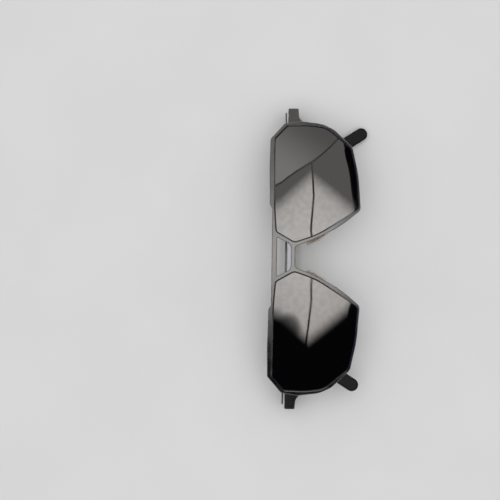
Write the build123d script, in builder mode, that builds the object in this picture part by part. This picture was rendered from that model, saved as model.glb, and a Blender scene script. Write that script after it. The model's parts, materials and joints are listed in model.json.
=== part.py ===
from build123d import *
from math import cos, radians, sin
import os

# Spectacles with a magnetic sun clip, folded and lying on a flat surface with the lenses up.
# X runs across the face, +Y towards the brow, +Z out of the front of the lenses.
# The origin is on the surface, under the middle of the front, level with the hinges.
# The wearer's left is at +X. Outlines are drawn as (across, up) from the middle of the
# lenses' box, so their sketches are placed on a plane whose origin is that point.

os.makedirs("parts", exist_ok=True)

# Driving dimensions, in millimetres and degrees
# Front
HINGE_ABOVE_BOX = 11.6      # hinges above the middle of the lenses' box
FRONT_Z = 24.0              # clip's front surface, at its highest point
BASE_RADIUS = 265.0         # sphere that the clip's front surface follows
FIT = 0.05                  # running fit around lenses, screws and stops

# Sun clip
CLIP_THICK = 1.6
CLIP_LIP = 0.6              # frame in front of the sun lens
CLIP_GAP = 0.15             # between the clip and the spectacles
SUN_LENS_THICK = 0.9
GROOVE_DEPTH = 0.5          # how far a lens reaches into its frame
BEVEL_WIDTH = 0.6
BEVEL_DEPTH = 0.3
CLIP_ROUND = 0.3            # on the clip's outer edges
CLAW_START = 64.5
CLAW_END = 71.4
CLAW_UP = 15.2
CLAW_THICK = 0.7
CLAW_DEPTH = 3.6
CLAW_INSET = 0.3            # claw's front edge behind the clip's front
CLAW_ROUND = 0.7
CLAW_EDGE_ROUND = 0.15

# Spectacles' front
RIM_DEPTH = 2.0
RIM_WIDTH = 1.1
RIM_ROUND = 0.15
BRIDGE_ROUND = 0.2
GROOVE_INSET = 0.5          # rim in front of its groove
CLEAR_LENS_THICK = 1.0
END_X = 73.7                # outer face of the end piece
END_DEPTH = 2.0             # thickness of the end piece's front leg
SIDE_WALL = 1.6
SIDE_HALF = 2.45
END_CORNER = 0.4
LOCK_X = (64.7, 68.6)
LOCK_HALF = 2.0
LOCK_DEPTH = 2.2
LOCK_SLIT = 0.2             # where the rim opens to take its lens

# Hinges
HINGE_X = 70.0
HINGE_Z = 3.3
KNUCKLE_R = 1.3
KNUCKLE_GAP = 0.05
MIDDLE_KNUCKLE_HALF = 0.75
LEAF_HALF = 1.9
LEAF_LENGTH = 4.2
LEAF_THICK = 1.1
TEMPLE_LEAF_THICK = 0.7
LEAF_CLEAR = 0.15           # between a leaf's plate and the other leaf's knuckle

# Temples
TEMPLE_LENGTH = 148.0
TEMPLE_STRAIGHT = 78.5
TEMPLE_BEND_R = 60.0
TEMPLE_BEND = radians(58)
TILT = {"left": 1.15, "right": -0.45}
LEFT_FOLD_RISE = 4.0        # the left temple folds first, so it lies over the right one
ARM_THICK = 1.2
ARM_HALF = 2.3
ARM_REAR_HALF = 1.6
STOP_GAP = 0.05             # between the end piece and the folded arm
CORE_START = 88.0
CORE_END = 141.0
CORE_HALF = 1.0
CORE_THICK = 0.8
CORE_Z = 0.4
SLEEVE_START = 90.0
SLEEVE_HALVES = [(SLEEVE_START, 2.0), (104.0, 2.1), (122.0, 2.5), (136.0, 3.1)]
SLEEVE_FRONT_THICK = 1.7
SLEEVE_END_THICK = 2.7
SLEEVE_ROUND = 0.6

# Nose pads
PAD_CENTRE = (9.9, -0.9 - HINGE_ABOVE_BOX, 15.7)
PAD_SLANT = 34.0            # pad's long axis leans out towards the cheeks
PAD_SPLAY = 28.0            # pad's back edge opens away from the nose
PAD_THICK = 1.8
PAD_ROUND = 0.8
PAD_CORE_LENGTH = 7.0
PAD_CORE_WIDTH = 2.6
PAD_CORE_THICK = 0.5
BOSS_HALF = 0.7
BOSS_WIDTH = 1.6
PAD_PIVOT = 2.2             # from the middle of the pad's thickness out to its screw
BOX_WALL = 0.5
BOX_HALF_LENGTH = 0.9
BOX_MOUTH = 1.4
BOX_FLOOR = 3.3
WIRE_R = 0.5
WIRE_BEND_R = 0.8
WIRE_LAST_RUN = 2.0
WIRE_FOOT = (8.2, 5.8)
WIRE_BEND_BACK = (8.7, 6.3, 17.0)
WIRE_BEND_OUT = (12.6, 6.4, 16.6)

# Screws, as (shank radius, head radius), and magnets
HINGE_SCREW = (0.6, 1.0)
LOCK_SCREW = (0.5, 0.8)
PAD_SCREW = (0.35, 0.6)
HEAD_HEIGHT = 0.5
SLOT_WIDTH = 0.3
MAGNET_R = 0.5
MAGNET_LENGTH = 0.8
MAGNET_SINK = 0.2
MAGNET_PLACES = [(5.4, 11.0), (65.62, 12.4)]

# Planes and spheres
BOX_Y = -HINGE_ABOVE_BOX
BOX_PLANE = Plane((0, BOX_Y, 0))
SPHERE_CENTRE = (0, BOX_Y, FRONT_Z - BASE_RADIUS)
ABOVE = FRONT_Z + 1         # height that clears the whole front
CLIP_BACK = CLIP_THICK
FRAME_FRONT = CLIP_BACK + CLIP_GAP
FRAME_BACK = FRAME_FRONT + RIM_DEPTH

# Outlines of the left half, as (across, up, corner radius) at each corner
CLIP_TOP = [
    (23.3, 21.5, 1.0),
    (25.6, 22.75, 1.0),
    (44.0, 23.1, 60.0),
    (57.9, 22.8, 1.6),
    (65.7, 16.0, 0.8),
]
CLIP_SIDE = [
    (67.0, 8.0, 9.0),
    (65.7, -2.6, 14.0),
    (62.8, -8.5, 10.0),
    (54.1, -17.3, 4.5),
    (40.0, -20.2, 60.0),
    (23.2, -21.3, 3.0),
    (13.9, -10.2, 60.0),
    (8.2, 2.4, 20.0),
    (5.0, 10.2, 1.6),
]
LENS_OPENING = [
    (12.2, 19.3, 2.0),
    (24.0, 20.2, 60.0),
    (57.9, 20.4, 1.4),
    (64.4, 14.4, 1.4),
    (64.7, 5.0, 30.0),
    (63.6, -4.4, 12.0),
    (53.5, -16.4, 5.0),
    (40.0, -19.2, 60.0),
    (23.8, -20.2, 2.6),
    (10.9, -0.3, 40.0),
    (7.2, 10.6, 3.0),
]
BRIDGE_GAP = [
    (9.4, 19.0, 0.2),
    (6.0, 12.2, 3.2),
]
END_PIECE = [
    (64.0, HINGE_ABOVE_BOX + SIDE_HALF, 0.2),
    (END_X, HINGE_ABOVE_BOX + SIDE_HALF, END_CORNER),
    (END_X, HINGE_ABOVE_BOX - SIDE_HALF, END_CORNER),
    (69.2, 8.9, 2.5),
    (65.0, 5.7, 0.2),
]
FRAME_BRIDGE = [
    (4.0, 14.1, 2.0),
    (10.5, 14.4, 0.1),
    (8.2, 9.6, 0.1),
    (5.6, 9.6, 0.6),
    (4.0, 10.9, 2.0),
]
PAD_OUTLINE = [
    (-6.6, -2.6, 2.2),
    (-5.6, 2.6, 2.6),
    (2.2, 4.0, 5.0),
    (6.6, 1.8, 2.6),
    (6.4, -2.6, 2.2),
    (0.0, -3.8, 14.0),
]


def shell(outer, inner):
    """Solid between two depths below the clip's front sphere."""
    ball = Sphere(BASE_RADIUS - outer, rotation=(90, 0, 0), mode=Mode.PRIVATE)
    core = Sphere(BASE_RADIUS - inner, rotation=(90, 0, 0), mode=Mode.PRIVATE)
    return Location(SPHERE_CENTRE) * (ball - core)


def outline(corners):
    """Rounded outline through points of (across, up, corner radius)."""
    points = [(across, up) for across, up, _ in corners]
    FilletPolyline(*points, radius=[radius for _, _, radius in corners], close=True)


def mirrored(corners):
    """The outline's left half followed by its right half."""
    return corners + [(-across, up, radius) for across, up, radius in reversed(corners)]


def mirror_part(piece):
    """The piece's image on the other side of the nose."""
    return mirror(piece, about=Plane.YZ, mode=Mode.PRIVATE)


def save(piece, name):
    """Label one finished piece and write its STEP file."""
    piece.label = name
    export_step(piece, f"parts/{name}.step")


def save_pair(piece, name, prefix=""):
    """Write the left piece and its mirror image."""
    save(piece, f"{prefix}left_{name}")
    save(mirror_part(piece), f"{prefix}right_{name}")


def lens_shape(grow, outer, inner):
    """Left lens opening grown by an amount, between two depths below the front."""
    with BuildPart() as shape:
        with BuildSketch(BOX_PLANE):
            with BuildLine():
                outline(LENS_OPENING)
            make_face()
            if grow:
                offset(amount=grow)
        extrude(amount=ABOVE)
        add(shell(outer, inner), mode=Mode.INTERSECT)
    return shape.part


def outer_edges(shape):
    """Edges round the outside of a part's front and back, and round its gap at the bridge."""
    skins = shape.faces().filter_by(GeomType.SPHERE).sort_by(SortBy.AREA)[-2:]
    chosen = ShapeList()
    for skin in skins:
        chosen += skin.outer_wire().edges()
        chosen += skin.inner_wires().sort_by(SortBy.LENGTH)[:-2].edges()
    return chosen


def on_both_sides(piece):
    """The piece and its mirror image, for cutting one part on both sides."""
    return [piece, mirror_part(piece)]


def level_plane(up):
    """Plane seen from below the chin side, with X across and Z up, at one height of the face."""
    return Plane((0, BOX_Y + up, 0), x_dir=(1, 0, 0), z_dir=(0, -1, 0))


def magnet(across, up, top, length):
    """Disc magnet that stands straight up, its upper face at height top."""
    with BuildPart() as disc:
        with BuildSketch(Plane((across, BOX_Y + up, top))):
            Circle(MAGNET_R)
        extrude(amount=-length)
    return disc.part


def front_height(across, up, depth):
    """Height of the sphere that lies a depth below the clip's front."""
    radius = BASE_RADIUS - depth
    return SPHERE_CENTRE[2] + (radius**2 - across**2 - up**2) ** 0.5


# ---------------------------------------------------------------- magnets
clip_discs = []
frame_discs = []
for across, up in MAGNET_PLACES:
    clip_back = front_height(across, up, CLIP_BACK)
    frame_front = front_height(across, up, FRAME_FRONT)
    clip_discs.append(magnet(across, up, clip_back + MAGNET_SINK + MAGNET_LENGTH, MAGNET_LENGTH))
    frame_discs.append(magnet(across, up, frame_front - MAGNET_SINK, MAGNET_LENGTH))

with BuildPart() as clip_magnets:
    for disc in clip_discs:
        add(on_both_sides(disc))
save(clip_magnets.part, "clip_magnets")

with BuildPart() as frame_magnets:
    for disc in frame_discs:
        add(on_both_sides(disc))
save(frame_magnets.part, "frame_magnets")


# ---------------------------------------------------------------- sun clip
lens_seat = lens_shape(GROOVE_DEPTH, CLIP_LIP, CLIP_BACK + 1)
with BuildPart() as clip_frame:
    with BuildSketch(BOX_PLANE):
        with BuildLine():
            outline(mirrored(CLIP_TOP + CLIP_SIDE))
        make_face()
        with BuildLine():
            outline(mirrored(BRIDGE_GAP))
        make_face(mode=Mode.SUBTRACT)
        with BuildLine():
            outline(LENS_OPENING)
        make_face(mode=Mode.SUBTRACT)
        with BuildLine():
            outline([(-across, up, radius) for across, up, radius in LENS_OPENING])
        make_face(mode=Mode.SUBTRACT)
    extrude(amount=ABOVE)
    add(shell(0, CLIP_BACK), mode=Mode.INTERSECT)
    front_face = faces().filter_by(GeomType.SPHERE).sort_by(Axis.Z)[-1]
    openings = front_face.inner_wires().sort_by(SortBy.LENGTH)[-2:]
    chamfer(openings.edges(), length=BEVEL_WIDTH, length2=BEVEL_DEPTH, reference=front_face)
    add(on_both_sides(lens_seat), mode=Mode.SUBTRACT)
    fillet(outer_edges(clip_frame), CLIP_ROUND)
    for disc in clip_discs:
        add(on_both_sides(disc), mode=Mode.SUBTRACT)
save(clip_frame.part, "clip_frame")

sun_lens = lens_shape(GROOVE_DEPTH - FIT, CLIP_LIP, CLIP_LIP + SUN_LENS_THICK)
save_pair(sun_lens, "lens", "clip_")

claw_top = front_height(CLAW_START, CLAW_UP, CLAW_INSET)
claw_end = front_height(CLAW_END, CLAW_UP, CLAW_INSET)
with BuildPart() as clip_claw:
    with BuildSketch(level_plane(CLAW_UP)):
        with BuildLine():
            FilletPolyline(
                (CLAW_START, claw_top),
                (CLAW_END, claw_end),
                (CLAW_END, claw_end - CLAW_DEPTH),
                (CLAW_START, claw_top - CLAW_DEPTH),
                radius=[0, CLAW_ROUND, CLAW_ROUND, 0],
                close=True,
            )
        make_face()
    extrude(amount=CLAW_THICK / 2, both=True)
    fillet(edges().filter_by(Axis.Z), CLAW_EDGE_ROUND)
    with BuildSketch(BOX_PLANE):
        with BuildLine():
            outline(mirrored(CLIP_TOP + CLIP_SIDE))
        make_face()
    extrude(amount=FRONT_Z, mode=Mode.SUBTRACT)
save_pair(clip_claw.part, "claw", "clip_")


# ---------------------------------------------------------------- spectacles' front
with BuildPart() as rim:
    add(lens_shape(RIM_WIDTH, FRAME_FRONT, FRAME_BACK))
    add(lens_shape(0, FRAME_FRONT - 1, FRAME_BACK + 1), mode=Mode.SUBTRACT)
    groove_back = FRAME_FRONT + GROOVE_INSET + CLEAR_LENS_THICK + 2 * FIT
    add(lens_shape(GROOVE_DEPTH, FRAME_FRONT + GROOVE_INSET, groove_back), mode=Mode.SUBTRACT)
    with BuildSketch(Plane((LOCK_X[0], 0, HINGE_Z))):
        Rectangle(LOCK_X[1] - LOCK_X[0], LOCK_SLIT, align=(Align.MIN, Align.CENTER))
    extrude(amount=FRONT_Z, mode=Mode.SUBTRACT)
    add(frame_discs, mode=Mode.SUBTRACT)
    fillet(outer_edges(rim), RIM_ROUND)
save_pair(rim.part, "rim")

lens_front = FRAME_FRONT + GROOVE_INSET + FIT
clear_lens = lens_shape(GROOVE_DEPTH - FIT, lens_front, lens_front + CLEAR_LENS_THICK)
save_pair(clear_lens, "clear_lens")

with BuildPart() as bridge:
    with BuildSketch(BOX_PLANE):
        with BuildLine():
            outline(mirrored(FRAME_BRIDGE))
        make_face()
    extrude(amount=FRONT_Z)
    add(shell(FRAME_FRONT, FRAME_BACK), mode=Mode.INTERSECT)
    add(on_both_sides(lens_shape(RIM_WIDTH, 0, FRAME_BACK + 1)), mode=Mode.SUBTRACT)
    fillet(faces().filter_by(GeomType.SPHERE).edges(), BRIDGE_ROUND)
    add(on_both_sides(frame_discs[0]), mode=Mode.SUBTRACT)
save(bridge.part, "bridge")

with BuildPart() as end_piece:
    with BuildSketch(BOX_PLANE):
        with BuildLine():
            outline(END_PIECE)
        make_face()
    extrude(amount=FRONT_Z)
    add(shell(FRAME_FRONT, FRAME_FRONT + END_DEPTH), mode=Mode.INTERSECT)
    side_top = front_height(END_X, HINGE_ABOVE_BOX, FRAME_FRONT)
    with BuildSketch(BOX_PLANE.offset(HINGE_Z + STOP_GAP)):
        with BuildLine():
            outline(END_PIECE)
        make_face()
        with Locations((END_X, HINGE_ABOVE_BOX)):
            Rectangle(SIDE_WALL, 3 * SIDE_HALF, align=(Align.MAX, Align.CENTER), mode=Mode.INTERSECT)
    extrude(amount=side_top - END_DEPTH / 2 - HINGE_Z)
    add(lens_shape(RIM_WIDTH, 0, FRAME_BACK + 1), mode=Mode.SUBTRACT)
    add(frame_discs[1], mode=Mode.SUBTRACT)
save_pair(end_piece.part, "end_piece")

lock_middle = (LOCK_X[0] + LOCK_X[1]) / 2
with BuildPart() as lock_block:
    with BuildSketch(Plane((lock_middle, 0, HINGE_Z))):
        Rectangle(LOCK_X[1] - LOCK_X[0], 2 * LOCK_HALF)
        Rectangle(LOCK_X[1] - LOCK_X[0], LOCK_SLIT, mode=Mode.SUBTRACT)
    extrude(amount=FRONT_Z - HINGE_Z)
    add(shell(FRAME_BACK, FRAME_BACK + LOCK_DEPTH), mode=Mode.INTERSECT)
    lock_z = front_height(lock_middle, HINGE_ABOVE_BOX, FRAME_BACK + LOCK_DEPTH / 2)
    with BuildSketch(Plane((lock_middle, 0, lock_z), x_dir=(1, 0, 0), z_dir=(0, 1, 0))):
        Circle(LOCK_SCREW[0] + FIT)
    extrude(amount=LOCK_HALF, both=True, mode=Mode.SUBTRACT)
save_pair(lock_block.part, "lock_block")


def screw(plane, radii, length):
    """Screw of (shank, head) radii, its head's underside on the plane, its tip behind it."""
    radius, head_radius = radii
    with BuildPart() as made:
        with BuildSketch(plane):
            Circle(radius)
        extrude(amount=-length)
        with BuildSketch(plane):
            Circle(head_radius)
        extrude(amount=HEAD_HEIGHT)
        head_top = faces().filter_by(GeomType.PLANE).sort_by(SortBy.AREA)[-1]
        fillet(head_top.edges(), HEAD_HEIGHT / 3)
        with BuildSketch(plane.offset(HEAD_HEIGHT)):
            Rectangle(2 * head_radius, SLOT_WIDTH)
        extrude(amount=-HEAD_HEIGHT / 2, mode=Mode.SUBTRACT)
    return made.part


lock_plane = Plane((lock_middle, -LOCK_HALF, lock_z), x_dir=(1, 0, 0), z_dir=(0, -1, 0))
lock_screw = screw(lock_plane, LOCK_SCREW, 2 * LOCK_HALF)
with BuildPart() as rim_lock_screws:
    add(on_both_sides(lock_screw))
save(rim_lock_screws.part, "rim_lock_screws")


# ---------------------------------------------------------------- hinges
with BuildPart() as front_leaf:
    wall_x = END_X - SIDE_WALL
    with BuildSketch(Plane.XZ.offset(-LEAF_HALF)):
        with Locations((HINGE_X, HINGE_Z)):
            Circle(KNUCKLE_R)
            Rectangle(wall_x - HINGE_X, KNUCKLE_R + LEAF_CLEAR, align=Align.MIN)
        with Locations((wall_x, HINGE_Z + KNUCKLE_R + LEAF_CLEAR)):
            Rectangle(LEAF_THICK, LEAF_LENGTH, align=(Align.MAX, Align.MIN))
        with Locations((HINGE_X, HINGE_Z)):
            Circle(HINGE_SCREW[0] + KNUCKLE_GAP / 2, mode=Mode.SUBTRACT)
    extrude(amount=2 * LEAF_HALF)
    slot = MIDDLE_KNUCKLE_HALF + KNUCKLE_GAP
    with BuildSketch(Plane.XZ.offset(-slot)):
        with Locations((HINGE_X - KNUCKLE_R, HINGE_Z - KNUCKLE_R)):
            slot_depth = 2 * KNUCKLE_R + LEAF_CLEAR
            Rectangle(wall_x - HINGE_X + KNUCKLE_R, slot_depth, align=Align.MIN)
    extrude(amount=2 * slot, mode=Mode.SUBTRACT)
save_pair(front_leaf.part, "front_leaf")

hinge_plane = Plane((HINGE_X, LEAF_HALF, HINGE_Z), x_dir=(1, 0, 0), z_dir=(0, 1, 0))
hinge_screw = screw(hinge_plane, HINGE_SCREW, 2 * LEAF_HALF)
with BuildPart() as hinge_screws:
    add(on_both_sides(hinge_screw))
save(hinge_screws.part, "hinge_screws")


# ---------------------------------------------------------------- nose pads and their arms
slant = radians(PAD_SLANT)
splay = radians(PAD_SPLAY)
pad_long = Vector(sin(slant), -cos(slant), 0)
pad_back = Vector(cos(slant) * sin(splay), sin(slant) * sin(splay), -cos(splay))
pad_plane = Plane(PAD_CENTRE, x_dir=pad_long, z_dir=pad_long.cross(pad_back))
pivot_plane = Plane(
    pad_plane.from_local_coords((0, 0, PAD_PIVOT)), x_dir=pad_long, z_dir=pad_back
)

with BuildPart() as pad_core:
    with BuildSketch(pad_plane.offset(-PAD_CORE_THICK / 2)):
        SlotOverall(PAD_CORE_LENGTH, PAD_CORE_WIDTH)
    extrude(amount=PAD_CORE_THICK)
    with BuildSketch(pad_plane):
        Rectangle(2 * BOSS_HALF, BOSS_WIDTH)
    extrude(amount=PAD_PIVOT + BOSS_HALF)
    with BuildSketch(pivot_plane):
        Circle(PAD_SCREW[0] + KNUCKLE_GAP)
    extrude(amount=BOSS_WIDTH, both=True, mode=Mode.SUBTRACT)
save_pair(pad_core.part, "pad_core")

with BuildPart() as nose_pad:
    with BuildSketch(pad_plane.offset(-PAD_THICK / 2)):
        with BuildLine():
            outline(PAD_OUTLINE)
        make_face()
    extrude(amount=PAD_THICK)
    rounded = faces().filter_by(GeomType.PLANE).sort_by(SortBy.AREA)[-2:]
    fillet(rounded.edges(), PAD_ROUND)
    add(pad_core.part, mode=Mode.SUBTRACT)
save_pair(nose_pad.part, "nose_pad")

with BuildPart() as pad_arm:
    wall_side = BOSS_WIDTH / 2 + KNUCKLE_GAP
    with BuildSketch(pad_plane.offset(BOX_MOUTH)):
        Rectangle(2 * BOX_HALF_LENGTH, 2 * (wall_side + BOX_WALL))
    extrude(amount=BOX_FLOOR + BOX_WALL - BOX_MOUTH)
    with BuildSketch(pad_plane.offset(BOX_MOUTH)):
        Rectangle(2 * BOX_HALF_LENGTH, 2 * wall_side)
    extrude(amount=BOX_FLOOR - BOX_MOUTH, mode=Mode.SUBTRACT)
    with BuildSketch(pivot_plane):
        Circle(PAD_SCREW[0] + KNUCKLE_GAP / 2)
    extrude(amount=BOSS_WIDTH, both=True, mode=Mode.SUBTRACT)
    foot_height = front_height(*WIRE_FOOT, FRAME_BACK - WIRE_R)
    foot = Vector(WIRE_FOOT[0], BOX_Y + WIRE_FOOT[1], foot_height)
    behind = Vector(*WIRE_BEND_BACK) + Vector(0, BOX_Y, 0)
    outside = Vector(*WIRE_BEND_OUT) + Vector(0, BOX_Y, 0)
    with BuildLine() as wire:
        FilletPolyline(
            foot,
            behind,
            outside,
            pad_plane.from_local_coords((0, 0, BOX_FLOOR + BOX_WALL + WIRE_LAST_RUN)),
            pad_plane.from_local_coords((0, 0, BOX_FLOOR + BOX_WALL / 2)),
            radius=WIRE_BEND_R,
        )
    with BuildSketch(Plane(foot, z_dir=behind - foot)):
        Circle(WIRE_R)
    sweep()
    add(shell(0, FRAME_BACK), mode=Mode.SUBTRACT)
save_pair(pad_arm.part, "pad_arm")

screw_plane = pivot_plane.offset(wall_side + BOX_WALL)
pad_screw = screw(screw_plane, PAD_SCREW, 2 * (wall_side + BOX_WALL))
with BuildPart() as pad_screws:
    add(on_both_sides(pad_screw))
save(pad_screws.part, "pad_screws")


# ---------------------------------------------------------------- temples
def along(side, run, offset):
    """Point a run along the left temple from its hinge, and an offset towards the brow."""
    turn = min(max(run - TEMPLE_STRAIGHT, 0) / TEMPLE_BEND_R, TEMPLE_BEND)
    level = min(run, TEMPLE_STRAIGHT)
    last = max(run - TEMPLE_STRAIGHT - TEMPLE_BEND_R * TEMPLE_BEND, 0)
    back = level + (TEMPLE_BEND_R + offset) * sin(turn) + last * cos(turn)
    up = (TEMPLE_BEND_R + offset) * cos(turn) - TEMPLE_BEND_R - last * sin(turn)
    tilt = radians(TILT[side])
    return HINGE_X - back * cos(tilt) - up * sin(tilt), up * cos(tilt) + back * sin(tilt)


def edge_arc(side, first, last, half):
    """Arc along the temple's bend between two runs, at one offset."""
    return ThreePointArc(
        along(side, first, half),
        along(side, (first + last) / 2, half),
        along(side, last, half),
    )


def temple_arm(side):
    """Flat arm from the hinge, ending in the thin core wire inside the sleeve."""
    bend_end = TEMPLE_STRAIGHT + TEMPLE_BEND_R * TEMPLE_BEND
    with BuildPart() as arm:
        with BuildSketch():
            with BuildLine():
                for sign in (1, -1):
                    hinge_corner = along(side, 0, sign * ARM_HALF)
                    Line(hinge_corner, along(side, TEMPLE_STRAIGHT, sign * ARM_REAR_HALF))
                    edge_arc(side, TEMPLE_STRAIGHT, SLEEVE_START, sign * ARM_REAR_HALF)
                for run, half in ((0, ARM_HALF), (SLEEVE_START, ARM_REAR_HALF)):
                    Line(along(side, run, half), along(side, run, -half))
            make_face()
        extrude(amount=ARM_THICK)
        with BuildSketch(Plane.XY.offset(CORE_Z)):
            with BuildLine():
                for sign in (1, -1):
                    edge_arc(side, CORE_START, bend_end, sign * CORE_HALF)
                    core_corner = along(side, CORE_END, sign * CORE_HALF)
                    Line(along(side, bend_end, sign * CORE_HALF), core_corner)
                for run in (CORE_START, CORE_END):
                    Line(along(side, run, CORE_HALF), along(side, run, -CORE_HALF))
            make_face()
        extrude(amount=CORE_THICK)
    return arm.part


def temple_tip(side, arm):
    """Sleeve that grows into a rounded paddle over the arm's core."""
    paddle_half = SLEEVE_HALVES[-1][1]
    round_start = TEMPLE_LENGTH - paddle_half
    upper = [along(side, run, half) for run, half in SLEEVE_HALVES]
    lower = [along(side, run, -half) for run, half in SLEEVE_HALVES]
    upper_end = along(side, round_start, paddle_half)
    lower_end = along(side, round_start, -paddle_half)
    start_x = along(side, SLEEVE_START, 0)[0]
    end_x = along(side, TEMPLE_LENGTH, 0)[0]
    slope = (SLEEVE_END_THICK - SLEEVE_FRONT_THICK) / (start_x - end_x)
    with BuildPart() as sleeve:
        with BuildSketch():
            with BuildLine():
                Spline(*upper)
                Line(upper[-1], upper_end)
                ThreePointArc(upper_end, along(side, TEMPLE_LENGTH, 0), lower_end)
                Line(lower_end, lower[-1])
                Spline(*lower)
                Line(lower[0], upper[0])
            make_face()
        extrude(amount=2 * SLEEVE_END_THICK)
        with BuildSketch(Plane.XZ):
            with BuildLine():
                Polyline(
                    (HINGE_X, SLEEVE_FRONT_THICK - slope * (HINGE_X - start_x)),
                    (-HINGE_X, SLEEVE_FRONT_THICK + slope * (HINGE_X + start_x)),
                    (-HINGE_X, 3 * SLEEVE_END_THICK),
                    (HINGE_X, 3 * SLEEVE_END_THICK),
                    close=True,
                )
            make_face()
        extrude(amount=TEMPLE_LENGTH, both=True, mode=Mode.SUBTRACT)
        fillet(faces().filter_by(GeomType.PLANE).sort_by(Axis.Z)[-1].edges(), SLEEVE_ROUND)
        fillet(faces().filter_by(GeomType.PLANE).sort_by(Axis.Z)[0].edges(), SLEEVE_ROUND / 2)
        add(arm, mode=Mode.SUBTRACT)
    return sleeve.part


with BuildPart() as temple_leaf:
    plate_start = HINGE_X - KNUCKLE_R - LEAF_CLEAR
    with BuildSketch(Plane.XZ.offset(-LEAF_HALF)):
        with Locations((plate_start, ARM_THICK)):
            Rectangle(LEAF_LENGTH, TEMPLE_LEAF_THICK, align=(Align.MAX, Align.MIN))
    extrude(amount=2 * LEAF_HALF)
    with BuildSketch(Plane.XZ.offset(-MIDDLE_KNUCKLE_HALF)):
        with Locations((plate_start, ARM_THICK)):
            Rectangle(HINGE_X - plate_start, HINGE_Z - ARM_THICK, align=Align.MIN)
        with Locations((HINGE_X, HINGE_Z)):
            Circle(KNUCKLE_R)
            Circle(HINGE_SCREW[0] + KNUCKLE_GAP, mode=Mode.SUBTRACT)
    extrude(amount=2 * MIDDLE_KNUCKLE_HALF)

hinge_line = Axis((HINGE_X, 0, HINGE_Z), (0, 1, 0))
left_arm = temple_arm("left")
left_pieces = {"arm": left_arm, "tip": temple_tip("left", left_arm), "leaf": temple_leaf.part}
for name, piece in left_pieces.items():
    save(piece.rotate(hinge_line, LEFT_FOLD_RISE), f"left_temple_{name}")

right_arm = temple_arm("right")
right_pieces = {"arm": right_arm, "tip": temple_tip("right", right_arm), "leaf": temple_leaf.part}
for name, piece in right_pieces.items():
    save(mirror_part(piece), f"right_temple_{name}")
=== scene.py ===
# Spectacles with a magnetic sun clip, folded and lying face up on a pale floor.
import json
from math import cos, pi, radians, sin, sqrt

import bpy
from mathutils import Matrix, Vector


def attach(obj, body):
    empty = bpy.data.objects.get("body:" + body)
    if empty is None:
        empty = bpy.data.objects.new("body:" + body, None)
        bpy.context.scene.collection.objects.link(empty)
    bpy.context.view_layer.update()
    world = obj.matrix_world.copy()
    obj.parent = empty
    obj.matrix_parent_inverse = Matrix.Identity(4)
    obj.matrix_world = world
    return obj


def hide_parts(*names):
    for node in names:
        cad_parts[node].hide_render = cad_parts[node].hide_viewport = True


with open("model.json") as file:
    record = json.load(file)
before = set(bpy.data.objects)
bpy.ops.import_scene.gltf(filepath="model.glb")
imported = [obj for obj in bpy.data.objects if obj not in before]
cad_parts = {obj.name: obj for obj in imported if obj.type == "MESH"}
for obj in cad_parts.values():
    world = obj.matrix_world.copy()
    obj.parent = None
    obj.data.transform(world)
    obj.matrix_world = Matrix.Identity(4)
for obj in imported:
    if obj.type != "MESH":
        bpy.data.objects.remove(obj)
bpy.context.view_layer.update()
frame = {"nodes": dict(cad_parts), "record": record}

nodes = frame["nodes"]

# Driving dimensions, in metres
MM = 0.001
MICRON = 1e-6
BOX_Y = -11.6 * MM              # middle of the lenses' box, below the hinges
FRONT_Z = 24 * MM               # highest point of the clip's front sphere
BASE_RADIUS = 265 * MM
SPHERE_CENTRE = Vector((0, BOX_Y, FRONT_Z - BASE_RADIUS))


# ---------------------------------------------------------------- camera
VIEW_LEAN = radians(3)          # how far the camera leans towards the wearer's right
VIEW_WIDTH = 241.75 * MM        # what the picture's width covers at the lenses
VIEW_DISTANCE = 700 * MM
VIEW_PLANE = 21 * MM            # height at which the picture's width is measured
SENSOR_WIDTH = 36               # in millimetres
CLIP_START = 10 * MM
VIEW_CENTRE = Vector((3.1 * MM, BOX_Y + 32 * MM))
VIEW_ROLL = radians(89.1)       # the brow faces the picture's left


def make_camera():
    """Camera above the glasses, turned so that they run up the picture."""
    data = bpy.data.cameras.new("camera")
    data.sensor_width = SENSOR_WIDTH
    data.lens = SENSOR_WIDTH * VIEW_DISTANCE / VIEW_WIDTH
    data.clip_start = CLIP_START
    camera = bpy.data.objects.new("camera", data)
    bpy.context.scene.collection.objects.link(camera)
    turn = Matrix.Rotation(-VIEW_LEAN, 4, "Y") @ Matrix.Rotation(-VIEW_ROLL, 4, "Z")
    target = Matrix.Translation((*VIEW_CENTRE, VIEW_PLANE))
    camera.matrix_world = target @ turn @ Matrix.Translation((0, 0, VIEW_DISTANCE))
    bpy.context.scene.camera = camera


# ---------------------------------------------------------------- material building blocks
NOISE_SPREAD = (0.3, 0.7)       # where nearly all of a noise's values lie


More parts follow.
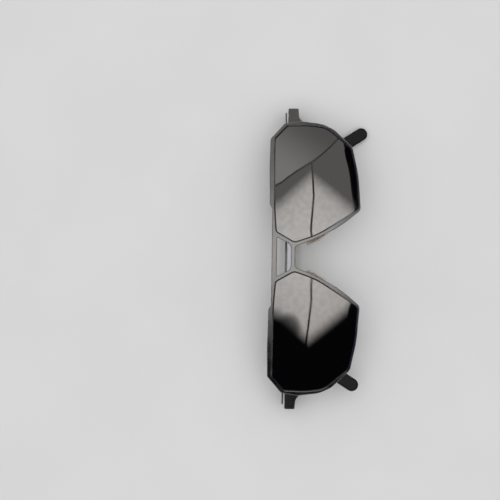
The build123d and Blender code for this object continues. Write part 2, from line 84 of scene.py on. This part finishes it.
class Paint:
    """A procedural material: a Principled shader and the nodes that feed it."""

    def __init__(self, name):
        self.material = bpy.data.materials.new(name)
        self.material.use_nodes = True
        self.nodes = self.material.node_tree.nodes
        self.links = self.material.node_tree.links
        self.shader = self.nodes["Principled BSDF"]
        self.place = self.nodes.new("ShaderNodeTexCoord").outputs["Object"]

    def set(self, **values):
        """Constants on the shader's own sockets, by their names with underscores."""
        for key, value in values.items():
            socket = self.shader.inputs[key.replace("_", " ")]
            socket.default_value = (*value, 1) if isinstance(value, tuple) else value
        return self

    def noise(self, size, detail=2.0, stretch=(1, 1, 1)):
        """Noise whose features are about size across, in metres."""
        mapping = self.nodes.new("ShaderNodeMapping")
        mapping.inputs["Scale"].default_value = [part / size for part in stretch]
        self.links.new(self.place, mapping.inputs["Vector"])
        noise = self.nodes.new("ShaderNodeTexNoise")
        noise.inputs["Scale"].default_value = 1
        noise.inputs["Detail"].default_value = detail
        self.links.new(mapping.outputs["Vector"], noise.inputs["Vector"])
        return noise.outputs["Fac"]

    def remap(self, value, low, high, spread=NOISE_SPREAD):
        """Value mapped from its spread to low..high."""
        node = self.nodes.new("ShaderNodeMapRange")
        node.inputs["From Min"].default_value, node.inputs["From Max"].default_value = spread
        node.inputs["To Min"].default_value = low
        node.inputs["To Max"].default_value = high
        self.links.new(value, node.inputs["Value"])
        return node.outputs["Result"]

    def blend(self, value, first, second, spread=NOISE_SPREAD):
        """Colour that goes from first to second with the value."""
        mix = self.nodes.new("ShaderNodeMix")
        mix.data_type = "RGBA"
        colours = [socket for socket in mix.inputs if socket.type == "RGBA"]
        colours[0].default_value = (*first, 1)
        colours[1].default_value = (*second, 1)
        self.links.new(self.remap(value, 0, 1, spread), mix.inputs["Factor"])
        return [socket for socket in mix.outputs if socket.type == "RGBA"][0]

    def feed(self, key, output):
        """An output linked to one of the shader's sockets."""
        self.links.new(output, self.shader.inputs[key])
        return self

    def vary(self, value, tones, roughness):
        """Colour and roughness that follow one value together."""
        self.feed("Base Color", self.blend(value, *tones))
        return self.feed("Roughness", self.remap(value, *roughness))

    def bump(self, height, depth):
        """Bump of a real depth, in metres."""
        node = self.nodes.new("ShaderNodeBump")
        node.inputs["Distance"].default_value = depth
        self.links.new(height, node.inputs["Height"])
        self.links.new(node.outputs["Normal"], self.shader.inputs["Normal"])
        return self


# Finishes: the two colours that each one drifts between, and its range of roughness
WHITE = (1.0, 1.0, 1.0)
GUNMETAL = ((0.255, 0.25, 0.245), (0.305, 0.30, 0.29))
FRAME_ROUGHNESS = (0.27, 0.34)
CLIP_ROUGHNESS = (0.24, 0.31)
BRIDGE_TONES = ((0.27, 0.28, 0.30), (0.35, 0.36, 0.39))
MAGNET_TONES = ((0.60, 0.60, 0.61), (0.70, 0.70, 0.70))
POLISHED_ROUGHNESS = (0.14, 0.24)
HARDWARE_TONES = ((0.45, 0.45, 0.46), (0.62, 0.62, 0.63))
HARDWARE_ROUGHNESS = (0.22, 0.40)
MIRROR_TINT = (1.0, 0.965, 0.94)
MIRROR_TONES = ((0.002, 0.002, 0.0025), (0.02, 0.02, 0.019))
MIRROR_ROUGHNESS = (0.015, 0.05)
DUST_SPREAD = (0.70, 0.80)      # only the noise's peaks are specks of dust
# Painted shade: near-black tones with a faint violet cast for the recess round each sun lens, and
# their roughness
SHADE_BEAD_TONES = ((0.010, 0.006, 0.022), (0.018, 0.011, 0.036))
SHADE_BEAD_ROUGHNESS = (0.30, 0.42)
CLEAR_TONES = ((0.95, 0.97, 0.97), (0.98, 0.99, 0.99))
CLEAR_ROUGHNESS = (0.0, 0.02)
SILICONE_TONES = ((0.80, 0.72, 0.65), (0.90, 0.83, 0.77))
SILICONE_ROUGHNESS = (0.10, 0.18)
SILICONE_SHEEN = (1.0, 0.86, 0.76)
ACETATE_TONES = ((0.0025, 0.0025, 0.003), (0.005, 0.005, 0.0055))
ACETATE_ROUGHNESS = (0.16, 0.26)
FLOOR_TONES = ((0.80, 0.80, 0.80), (0.83, 0.83, 0.83))
FLOOR_ROUGHNESS = (0.6, 0.7)


def satin_metal(name, tones, roughness):
    """Satin coated metal: fine grain, and slow drifts of tone and gloss."""
    paint = Paint(name).set(Metallic=1.0)
    drift = paint.noise(size=9 * MM)
    grain = paint.noise(size=0.12 * MM, detail=3.0)
    paint.vary(drift, tones, roughness)
    return paint.bump(grain, depth=0.8 * MICRON).material


def polished_metal(name, tones):
    """Polished metal with faint straight polishing lines."""
    paint = Paint(name).set(Metallic=1.0)
    lines = paint.noise(size=0.2 * MM, stretch=(0.05, 1, 1))
    paint.vary(lines, tones, POLISHED_ROUGHNESS)
    return paint.bump(lines, depth=0.4 * MICRON).material


def machined_metal(name, tones):
    """Turned and milled hardware with fine tool marks."""
    paint = Paint(name).set(Metallic=1.0)
    marks = paint.noise(size=0.15 * MM, detail=4.0, stretch=(1, 0.15, 1))
    paint.vary(marks, tones, HARDWARE_ROUGHNESS)
    return paint.bump(marks, depth=1.5 * MICRON).material


def mirror_lens(name):
    """Dark polarised lens with a trace of dust and smears; its IOR gives the coating's mirror."""
    paint = Paint(name).set(IOR=3.15, Specular_Tint=MIRROR_TINT)
    smear = paint.noise(size=14 * MM, detail=3.0, stretch=(1, 0.4, 1))
    dust = paint.noise(size=0.35 * MM, detail=1.0)
    paint.feed("Base Color", paint.blend(dust, *MIRROR_TONES, DUST_SPREAD))
    paint.feed("Roughness", paint.remap(smear, *MIRROR_ROUGHNESS))
    return paint.material


def painted_shade_black(name):
    """Near-black with a faint violet cast, for painted shade in the recess round a sun lens."""
    paint = Paint(name).set(Specular_IOR_Level=0.2)
    return paint.vary(paint.noise(size=3 * MM), SHADE_BEAD_TONES, SHADE_BEAD_ROUGHNESS).material


def clear_lens(name):
    """Clear lens with the faintest smears."""
    paint = Paint(name).set(IOR=1.5, Transmission_Weight=1.0)
    smear = paint.noise(size=12 * MM, detail=3.0)
    return paint.vary(smear, CLEAR_TONES, CLEAR_ROUGHNESS).material


def silicone(name):
    """Translucent, slightly warm silicone, lighter towards its edges."""
    paint = Paint(name).set(IOR=1.41, Transmission_Weight=0.4)
    paint.set(Sheen_Weight=1.0, Sheen_Tint=SILICONE_SHEEN, Sheen_Roughness=0.25)
    cloud = paint.noise(size=2.5 * MM)
    skin = paint.noise(size=0.8 * MM)
    paint.vary(cloud, SILICONE_TONES, SILICONE_ROUGHNESS)
    return paint.bump(skin, depth=1 * MICRON).material


def gloss_black(name):
    """Glossy black acetate with soft polishing waves."""
    paint = Paint(name).set(IOR=1.45, Specular_IOR_Level=0.18)
    wave = paint.noise(size=6 * MM)
    paint.vary(wave, ACETATE_TONES, ACETATE_ROUGHNESS)
    return paint.bump(wave, depth=6 * MICRON).material


def floor_material():
    """Plain pale floor."""
    paint = Paint("floor")
    return paint.vary(paint.noise(size=60 * MM), FLOOR_TONES, FLOOR_ROUGHNESS).material


# ---------------------------------------------------------------- object
def new_object(name, points, faces, material):
    """A mesh object of one material, linked to the scene."""
    mesh = bpy.data.meshes.new(name)
    mesh.from_pydata(points, [], faces)
    mesh.materials.append(material)
    made = bpy.data.objects.new(name, mesh)
    bpy.context.scene.collection.objects.link(made)
    return made


def paint_frame():
    """Gives every CAD node its material, by its slot in the record, and returns them all."""
    finishes = {
        "frame_metal": satin_metal("frame_metal", GUNMETAL, FRAME_ROUGHNESS),
        "bridge_metal": polished_metal("bridge_metal", BRIDGE_TONES),
        "clip_metal": satin_metal("clip_metal", GUNMETAL, CLIP_ROUGHNESS),
        "sun_lens": mirror_lens("sun_lens"),
        "clear_lens": clear_lens("clear_lens"),
        "silicone": silicone("silicone"),
        "tip_black": gloss_black("tip_black"),
        "hardware": machined_metal("hardware", HARDWARE_TONES),
        "magnet": polished_metal("magnet", MAGNET_TONES),
    }
    for part in frame["record"]["subparts"]:
        node = nodes[part["node"]]
        node.data.materials.clear()
        node.data.materials.append(finishes[part["material_slot"]])
    return finishes


# Lens opening of the clip: across, up, corner radius, in millimetres
LENS_OPENING = [
    (12.2, 19.3, 2.0), (24.0, 20.2, 60.0), (57.9, 20.4, 1.4), (64.4, 14.4, 1.4),
    (64.7, 5.0, 30.0), (63.6, -4.4, 12.0), (53.5, -16.4, 5.0), (40.0, -19.2, 60.0),
    (23.8, -20.2, 2.6), (10.9, -0.3, 40.0), (7.2, 10.6, 3.0),
]
# Section of the painted-shade bead round a sun lens: inside the opening, below the clip's front,
# in millimetres
SHADE_BEAD_SECTION = [
    (-0.28, 0.19), (-0.24, 0.13), (-0.14, 0.15), (-0.04, 0.22), (0.05, 0.36), (0.11, 0.50),
    (0.15, 0.61), (0.08, 0.64),
]
ARC_STEPS = 8                   # steps round each corner of the opening


def rounded_path(corners):
    """Points round a closed outline whose corners are arcs, each with its inward direction."""
    path = []
    count = len(corners)
    for index, (x, y, radius) in enumerate(corners):
        corner = Vector((x, y))
        before = (Vector(corners[index - 1][:2]) - corner).normalized()
        after = (Vector(corners[(index + 1) % count][:2]) - corner).normalized()
        half = before.angle(after) / 2
        middle = (before + after).normalized()
        centre = corner + middle * (radius / sin(half))
        side = 1 if before.cross(after) > 0 else -1
        for step in range(ARC_STEPS + 1):
            turn = Matrix.Rotation((1 - 2 * step / ARC_STEPS) * (pi / 2 - half) * side, 2)
            path.append((centre - turn @ middle * radius, turn @ middle * side))
    return path


def painted_shade_bead(side, sign, material):
    """Near-black bead in the corner between one sun lens and the bevel of the clip's opening:
    painted shade of that recess.
    """
    path = rounded_path(LENS_OPENING)
    points = []
    for place, inward in path:
        for inside, depth in SHADE_BEAD_SECTION:
            spot = (place + inward * inside) * MM
            radius = BASE_RADIUS - depth * MM
            height = sqrt(radius**2 - spot.x**2 - spot.y**2)
            points.append(SPHERE_CENTRE + Vector((sign * spot.x, spot.y, height)))
    width = len(SHADE_BEAD_SECTION)
    faces = []
    for index in range(len(path)):
        low, high = index * width, (index + 1) % len(path) * width
        for step in range(width):
            turn = (step + 1) % width
            faces.append((low + step, low + turn, high + turn, high + step)[::sign])
    band = new_object(f"{side}_painted_shade_bead", points, faces, material)
    band.data.shade_smooth()
    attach(band, "clip")


PAD_SLANT = radians(34)         # lean of the pads towards each other at the top
PAD_SPLAY = radians(28)         # turn of their faces towards the nose
PAD_TURNS = 64                  # points round the outline
PAD_RINGS = 28                  # rings from the back to the face
PAD_CORNER = 0.92               # outline: 1 is an ellipse, smaller is squarer
PAD_FACE = 0.62                 # profile: smaller is flatter, with a tighter rim
PAD_NARROWING = 0.12            # share by which the outline narrows towards the chin


def signed_power(value, power):
    """Power of the size of a value, with the value's sign."""
    return abs(value) ** power if value > 0 else -(abs(value) ** power)


def pad_axes(sign):
    """Directions along a pad, across it and out of its face."""
    along = Vector((sign * sin(PAD_SLANT), -cos(PAD_SLANT), 0))
    slope = cos(PAD_SLANT) * sin(PAD_SPLAY)
    across = Vector((sign * slope, sin(PAD_SLANT) * sin(PAD_SPLAY), -cos(PAD_SPLAY)))
    return along, across, along.cross(across)


def pad_faces():
    """Faces of a closed pad: rings of quads between two fans of triangles."""
    last = 1 + (PAD_RINGS - 1) * PAD_TURNS
    top = last - PAD_TURNS
    faces = []
    for turn in range(PAD_TURNS):
        after = (turn + 1) % PAD_TURNS
        faces.append((0, 1 + after, 1 + turn))
        faces.append((last, top + turn, top + after))
        for ring in range(PAD_RINGS - 2):
            low = 1 + ring * PAD_TURNS
            high = low + PAD_TURNS
            faces.append((low + turn, low + after, high + after, high + turn))
    return faces


def soft_pad(side, sign, material):
    """Crowned silicone pad, moulded over its metal core, in the space of its CAD solid."""
    axes = pad_axes(sign)
    corners = [vertex.co for vertex in nodes[f"{side}_nose_pad"].data.vertices]
    spans = [[corner.dot(axis) for corner in corners] for axis in axes]
    half = [(max(span) - min(span)) / 2 for span in spans]
    ends = [max(span) + min(span) for span in spans]
    middle = sum((axis * end / 2 for axis, end in zip(axes, ends)), Vector())

    def point(ring, turn):
        rise = (ring / PAD_RINGS - 0.5) * pi
        angle = turn / PAD_TURNS * 2 * pi
        width = signed_power(cos(rise), PAD_FACE)
        narrow = (1 - PAD_NARROWING * cos(angle)) / (1 + PAD_NARROWING)
        parts = (
            half[0] * width * signed_power(cos(angle), PAD_CORNER),
            half[1] * width * signed_power(sin(angle), PAD_CORNER) * narrow,
            half[2] * signed_power(sin(rise), PAD_FACE),
        )
        return middle + sum((axis * part for axis, part in zip(axes, parts)), Vector())

    points = [point(0, 0)]
    points += [point(ring, turn) for ring in range(1, PAD_RINGS) for turn in range(PAD_TURNS)]
    points.append(point(PAD_RINGS, 0))
    pad = new_object(f"soft_{side}_pad", points, pad_faces(), material)
    pad.data.shade_smooth()
    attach(pad, f"{side}_pad")
    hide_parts(f"{side}_nose_pad")


# ---------------------------------------------------------------- stage
FLOOR_HALF = 3.0
FLOOR_DROP = 0.02 * MM          # keeps the floor clear of the temple that lies on it
SQUARE = [(-1, -1), (1, -1), (1, 1), (-1, 1)]


def stage_mesh(name, points, faces, material):
    """A mesh round the glasses, not attached to any of their bodies."""
    made = new_object(name, points, faces, material)
    return made


def make_floor():
    """Plain square floor under the glasses."""
    corners = [(x * FLOOR_HALF, y * FLOOR_HALF, -FLOOR_DROP) for x, y in SQUARE]
    stage_mesh("floor", corners, [(0, 1, 2, 3)], floor_material())


# ---------------------------------------------------------------- lights
# Panels overhead, in metres: x across the face, and y from the middle of the lenses' box
PANEL_HEIGHT = 1.2
PANEL_LEVEL = 1.52
LIGHT_COLOUR = (1.0, 0.985, 0.972)
PANELS_START = -0.72
SEAM_WIDTH = 0.0115
SEAM = [
    (PANELS_START, 0.003), (-0.437, -0.005), (-0.337, -0.016), (-0.187, -0.030), (-0.037, -0.025),
    (0.213, -0.022), (0.413, -0.038), (0.513, -0.034),
]
CORNER_TO_BROW = [
    (0.638, -0.020), (0.608, 0.020), (0.578, 0.062), (0.535, 0.115), (0.480, 0.175),
    (0.415, 0.250), (0.220, 0.520),
]
CORNER_TO_CHIN = [
    (0.640, -0.026), (0.664, -0.052), (0.700, -0.090), (0.765, -0.148), (0.835, -0.200),
]
PANEL_END = [
    (PANELS_START, -0.190), (-0.497, -0.205), (-0.365, -0.227), (-0.179, -0.251), (0.063, -0.262),
    (0.319, -0.270), (0.540, -0.254), (0.614, -0.246), (0.680, -0.236), (0.755, -0.228),
    (0.800, -0.214),
]
CORNER_GAP = Vector((0.0095, 0.006))    # between the middle panels and the side one
BROW_LIMIT = 0.52
SIDE_LIMIT = 1.35
SIDE_CHIN_LIMIT = -0.13

# Pool of light on the two middle panels
POOL_CENTRE = (0.088, -0.022)   # its brightest place
POOL_REACH = (0.535, 0.62)      # how far it reaches in x and in y
POOL_BROW_REACH = 0.52          # on the brow's side, towards +X
POOL_DROOP = (0.15, 1.0, 1.05, 0.84)    # two shares of the reach, and the levels there
POOL_EDGE = (0.82, 1.06)        # where the pool starts to fade, and where it has faded
POOL_SOFT_EDGE = (0.69, 1.06)   # the same, towards +X
POOL_TURN_X = (-0.10, 0.35)     # over which x the +X side's shape comes in
POOL_TURN_Y = (-0.03, 0.01)     # over which y the brow side's shape comes in
MOTTLE_SIZE = 0.03
MOTTLE_DETAIL = 3
MOTTLE_SPREAD = (0.35, 0.65)
MOTTLE_LEVELS = (0.92, 1.04)
NOTCH = (-0.345, 0.095)         # dark place at the pool's edge
NOTCH_REACH = (0.075, 0.062)
NOTCH_FADE = (0.2, 1.9, 0.25, 1.0)      # two distances from it, and the levels there
SPILL_FADE = (0.05, 0.25)       # beyond the pool: none up to the first x, full from the second
SPILL_LEVEL = 0.20

# Panel beside the pool, and the dim backing behind the seams
SIDE_LEVELS = (0.62, 0.27)      # near the pool, and away from it
SIDE_FADE = (0.42, 0.98)        # where the fade starts, and where it ends
SIDE_TURN = -0.9                # how much of y counts with x in the fade
BACKING = [
    (-0.30, -0.10), (0.70, -0.10), (0.80, -0.19), (0.85, -0.19), (0.75, 0.25), (-0.30, 0.25),
]
BACKING_RAISE = 0.004
BACKING_COLOUR = (1.0, 0.90, 0.72)
BACKING_LEVEL = 0.12

# Softbox that gloss and the camera don't see, and the pale light round the stage
FILL_HEIGHT = 1.1
FILL_HALF = 1.1
FILL_LEVEL = 1.1
WORLD_BAND = (0.40, 0.72)       # height over which the world's light fades out
WORLD_LEVEL = 0.75


class Glow:
    """Emission material whose strength is worked out from the place on the panel."""

    def __init__(self, name, colour):
        self.material = bpy.data.materials.new(name)
        self.material.use_nodes = True
        tree = self.material.node_tree
        tree.nodes.clear()
        self.nodes, self.links = tree.nodes, tree.links
        output = self.nodes.new("ShaderNodeOutputMaterial")
        self.glow = self.nodes.new("ShaderNodeEmission")
        self.glow.inputs["Color"].default_value = (*colour, 1)
        self.links.new(self.glow.outputs["Emission"], output.inputs["Surface"])
        self.place = self.nodes.new("ShaderNodeTexCoord").outputs["Object"]
        split = self.nodes.new("ShaderNodeSeparateXYZ")
        self.links.new(self.place, split.inputs["Vector"])
        self.x = split.outputs["X"]
        self.y = self.math("SUBTRACT", split.outputs["Y"], BOX_Y)

    def math(self, operation, first, second=0.0):
        """Result of a maths node on outputs or plain numbers."""
        node = self.nodes.new("ShaderNodeMath")
        node.operation = operation
        for socket, value in zip(node.inputs, (first, second)):
            if isinstance(value, (int, float)):
                socket.default_value = value
            else:
                self.links.new(value, socket)
        return node.outputs["Value"]

    def mottle(self, size, low, high):
        """Soft unevenness of the light between two levels."""
        noise = self.nodes.new("ShaderNodeTexNoise")
        noise.inputs["Scale"].default_value = 1 / size
        noise.inputs["Detail"].default_value = MOTTLE_DETAIL
        self.links.new(self.place, noise.inputs["Vector"])
        return self.ramp(noise.outputs["Fac"], *MOTTLE_SPREAD, low, high)

    def ramp(self, value, start, end, low, high):
        """Smooth step of the value from start..end to low..high."""
        node = self.nodes.new("ShaderNodeMapRange")
        node.interpolation_type = "SMOOTHSTEP"
        limits = (("From Min", start), ("From Max", end), ("To Min", low), ("To Max", high))
        for name, limit in limits:
            node.inputs[name].default_value = limit
        self.links.new(value, node.inputs["Value"])
        return node.outputs["Result"]

    def shine(self, strength):
        """The finished material, at a strength that is an output or a plain number."""
        if isinstance(strength, (int, float)):
            self.glow.inputs["Strength"].default_value = strength
        else:
            self.links.new(strength, self.glow.inputs["Strength"])
        return self.material


def away(glow, middle):
    """Distances across and up from a place, without their signs."""
    return [
        glow.math("ABSOLUTE", glow.math("SUBTRACT", value, centre))
        for value, centre in zip((glow.x, glow.y), middle)
    ]


def pool_material():
    """Diamond pool of light that fades outwards, with a little spill towards +X."""
    glow = Glow("panel_pool", LIGHT_COLOUR)
    across, up = away(glow, POOL_CENTRE)
    towards_x = glow.ramp(glow.x, *POOL_TURN_X, 0, 1)
    towards_brow = glow.ramp(glow.y, *POOL_TURN_Y, 0, 1)
    shorten = glow.math("MULTIPLY", towards_x, towards_brow)
    shorten = glow.math("MULTIPLY", shorten, POOL_BROW_REACH - POOL_REACH[1])
    up_share = glow.math("DIVIDE", up, glow.math("ADD", shorten, POOL_REACH[1]))
    far = glow.math("ADD", glow.math("DIVIDE", across, POOL_REACH[0]), up_share)
    crisp = glow.ramp(far, *POOL_EDGE, 1, 0)
    soft = glow.ramp(far, *POOL_SOFT_EDGE, 1, 0)
    softer = glow.math("MULTIPLY", glow.math("SUBTRACT", soft, crisp), towards_x)
    edge = glow.math("ADD", crisp, softer)
    droop = glow.ramp(far, *POOL_DROOP)
    spots = [
        glow.math("POWER", glow.math("DIVIDE", value, size), 2)
        for value, size in zip(away(glow, NOTCH), NOTCH_REACH)
    ]
    notch = glow.ramp(glow.math("ADD", *spots), *NOTCH_FADE)
    pool = glow.math("MULTIPLY", glow.math("MULTIPLY", edge, droop), notch)
    pool = glow.math("MULTIPLY", pool, glow.mottle(MOTTLE_SIZE, *MOTTLE_LEVELS))
    spill = glow.ramp(glow.x, *SPILL_FADE, 0, SPILL_LEVEL)
    level = glow.math("MAXIMUM", pool, spill)
    return glow.shine(glow.math("MULTIPLY", level, PANEL_LEVEL))


def side_material():
    """Light that fades slowly towards +X and the chin."""
    glow = Glow("panel_side", LIGHT_COLOUR)
    place = glow.math("ADD", glow.x, glow.math("MULTIPLY", glow.y, SIDE_TURN))
    return glow.shine(glow.ramp(place, *SIDE_FADE, *SIDE_LEVELS))


def light_panel(name, corners, material, height=PANEL_HEIGHT):
    """Flat light panel overhead, not seen by the camera."""
    points = [(x, BOX_Y + y, height) for x, y in corners]
    panel = stage_mesh(name, points, [tuple(range(len(points)))], material)
    panel.visible_camera = False
    return panel


def shifted(points, across, up):
    """Points moved by across and up."""
    return [(x + across, y + up) for x, y in points]


def make_lights():
    """Overhead panels with thin seams between them, and pale light from low around."""
    pool = pool_material()
    half = SEAM_WIDTH / 2
    gap_x, gap_y = CORNER_GAP / 2
    upper_seam = shifted(SEAM, 0, half)
    lower_seam = shifted(SEAM, 0, -half)
    brow_corner = shifted(CORNER_TO_BROW, -gap_x, -gap_y)
    chin_corner = shifted(CORNER_TO_CHIN, -gap_x, -gap_y)
    light_panel("panel_brow", upper_seam + brow_corner + [(PANELS_START, BROW_LIMIT)], pool)
    light_panel("panel_cheek", PANEL_END + chin_corner[::-1] + lower_seam[::-1], pool)
    side = shifted(CORNER_TO_CHIN[::-1] + CORNER_TO_BROW, gap_x, gap_y)
    side += [(SIDE_LIMIT, BROW_LIMIT), (SIDE_LIMIT, SIDE_CHIN_LIMIT)]
    light_panel("panel_side", side, side_material())
    backing = Glow("panel_back", BACKING_COLOUR).shine(BACKING_LEVEL)
    light_panel("panel_back", BACKING, backing, PANEL_HEIGHT + BACKING_RAISE)
    fill = Glow("panel_fill", WHITE).shine(FILL_LEVEL)
    around = [(x * FILL_HALF, y * FILL_HALF) for x, y in SQUARE]
    light_panel("panel_fill", around, fill, FILL_HEIGHT).visible_glossy = False
    make_world()


def make_world():
    """Pale light all round below the panels, and dark overhead."""
    world = bpy.data.worlds.new("world")
    bpy.context.scene.world = world
    world.use_nodes = True
    tree = world.node_tree
    background = tree.nodes["Background"]
    background.inputs["Color"].default_value = (*WHITE, 1)
    place = tree.nodes.new("ShaderNodeTexCoord")
    split = tree.nodes.new("ShaderNodeSeparateXYZ")
    tree.links.new(place.outputs["Generated"], split.inputs["Vector"])
    ramp = tree.nodes.new("ShaderNodeMapRange")
    ramp.interpolation_type = "SMOOTHSTEP"
    for name, limit in zip(("From Min", "From Max"), WORLD_BAND):
        ramp.inputs[name].default_value = limit
    ramp.inputs["To Min"].default_value = WORLD_LEVEL
    ramp.inputs["To Max"].default_value = 0.0
    tree.links.new(split.outputs["Z"], ramp.inputs["Value"])
    tree.links.new(ramp.outputs["Result"], background.inputs["Strength"])
    bpy.context.scene.view_settings.view_transform = "Standard"


make_camera()
finishes = paint_frame()
# Painted shade: a near-black bead round each sun lens, in the recess of the clip's opening
shade_bead_finish = painted_shade_black("painted_shade_bead")
painted_shade_bead("left", 1, shade_bead_finish)
painted_shade_bead("right", -1, shade_bead_finish)
soft_pad("left", 1, finishes["silicone"])
soft_pad("right", -1, finishes["silicone"])
make_floor()
make_lights()
